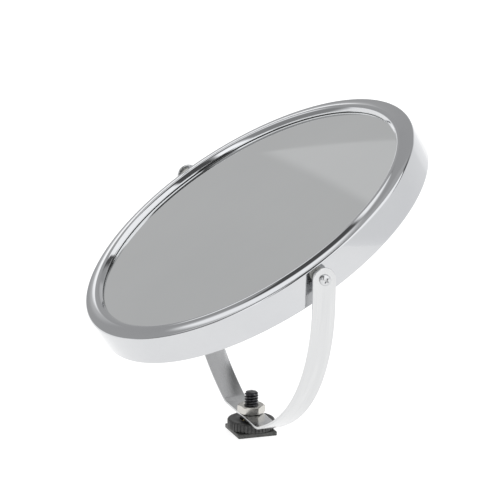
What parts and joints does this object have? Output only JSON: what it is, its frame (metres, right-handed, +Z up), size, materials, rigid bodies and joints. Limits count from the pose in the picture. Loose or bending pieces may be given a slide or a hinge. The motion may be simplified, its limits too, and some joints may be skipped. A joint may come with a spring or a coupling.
{
  "type": "tilting round mirror",
  "caption": "Round convex mirror in a deep chromed rim, tilting on a U-shaped strap yoke that stands on an accessory-shoe foot with a ribbed lock wheel.",
  "frame": {"origin": "centre of the foot's underside, on the stud's axis", "axes": "+Z up along the stud; +X along the tilt axis; the mirror faces up and towards -Y"},
  "size_m": [0.1856, 0.1507, 0.1474],
  "materials": {
    "chrome": "polished chrome plate",
    "plated_steel": "bright plated, fine grain along the strap",
    "mirror_silver": "silvered glass",
    "black_rubber": "matt",
    "hardboard": "raw",
    "grey_plastic": "moulded",
    "cover_plastic": "fine moulded texture",
    "nylon": "natural",
    "nickel": "nickel plated, turned",
    "black_steel": "blackened steel, slightly glossy",
    "black_plastic": "moulded, satin",
    "brass": "turned"
  },
  "bodies": {
    "base": {"shoe_foot": "black_plastic", "threaded_stud": "black_steel", "seat_collar": "black_steel", "clamp_nut": "nickel"},
    "wheel_carrier": {"wheel_bush": "brass"},
    "wheel": {"lock_wheel": "black_plastic"},
    "yoke": {"yoke_strap": "plated_steel"},
    "mirror_head": {"rim_drum": "chrome", "edge_gasket": "black_rubber", "mirror_glass": "mirror_silver", "backing_board": "hardboard", "spacer_ring": "grey_plastic", "rear_cover": "cover_plastic", "pivot_screw_right": "plated_steel", "friction_washer_right": "nylon", "pivot_spacer_right": "plated_steel", "inner_washer_right": "plated_steel", "pivot_nut_right": "plated_steel", "pivot_screw_left": "plated_steel", "friction_washer_left": "nylon", "pivot_spacer_left": "plated_steel", "inner_washer_left": "plated_steel", "pivot_nut_left": "plated_steel"}
  },
  "joints": [
    {"name": "yoke_pan", "type": "hinge", "parent": "base", "child": "yoke", "pos_m": [0, 0, 0.00857], "axis": [0, 0, 1], "continuous": true},
    {"name": "mirror_tilt", "type": "hinge", "parent": "yoke", "child": "mirror_head", "pos_m": [0, 0, 0.0976], "axis": [1, 0, 0], "range_deg": [-110, 45]},
    {"name": "wheel_lift", "type": "slide", "parent": "base", "child": "wheel_carrier", "axis": [0, 0, 1], "range_m": [0, 0.0013]},
    {"name": "wheel_turn", "type": "hinge", "parent": "wheel_carrier", "child": "wheel", "pos_m": [0, 0, 0.0043], "axis": [0, 0, 1], "range_deg": [0, 368]}
  ],
  "couplings": [
    {"joint": "wheel_lift", "follows": "wheel_turn", "m_per_rad": 0.00020213}
  ]
}
